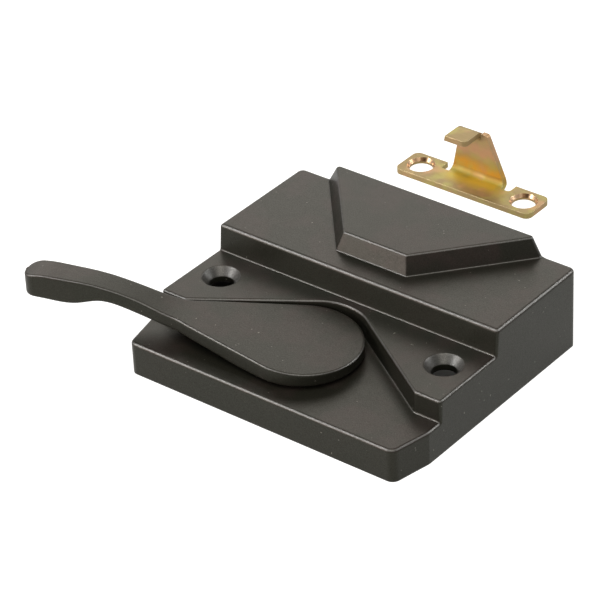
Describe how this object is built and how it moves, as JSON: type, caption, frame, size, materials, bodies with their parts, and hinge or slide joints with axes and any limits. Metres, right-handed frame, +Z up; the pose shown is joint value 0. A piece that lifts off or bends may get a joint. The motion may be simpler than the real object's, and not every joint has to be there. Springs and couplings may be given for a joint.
{
  "type": "window sash lock",
  "caption": "Surface-mounted window sash lock: hollow cast body with stepped top and hood, long curved swing lever, internal cam hook, and a separate bent keeper.",
  "frame": {"origin": "middle of the front wall's bottom rim, on the mounting plane", "axes": "+Z up away from the window rail; +X along the rail; +Y from the room side towards the keeper. The lever pivot axis is 16.6 mm behind the origin."},
  "size_m": [0.103, 0.1139, 0.0242],
  "materials": {
    "bronze_paint": "satin dark bronze paint, fine grain",
    "yellow_zinc_steel": "yellow passivated zinc plating with iridescent tints",
    "clear_zinc_steel": "clear zinc plating",
    "spindle_steel": "turned steel",
    "spring_steel": "oiled spring steel",
    "black_acetal": "moulded black acetal"
  },
  "bodies": {
    "body": {"housing": "bronze_paint", "pivot_bush": "black_acetal", "thrust_washer": "black_acetal", "detent_spring": "spring_steel"},
    "lever_and_cam": {"lever": "bronze_paint", "spindle": "spindle_steel", "cam_hook": "clear_zinc_steel", "wave_washer": "spring_steel", "retaining_washer": "clear_zinc_steel", "retaining_screw": "clear_zinc_steel"},
    "keeper_plate": {"keeper": "yellow_zinc_steel"}
  },
  "joints": [
    {"name": "lever_swing", "type": "hinge", "parent": "body", "child": "lever_and_cam", "pos_m": [0, 0.0166, 0], "axis": [0, 0, 1], "range_deg": [0, 74.1]},
    {"name": "keeper_travel", "type": "slide", "parent": "body", "child": "keeper_plate", "axis": [0.3217, -0.9468, 0], "range_m": [0, 0.06527]}
  ]
}
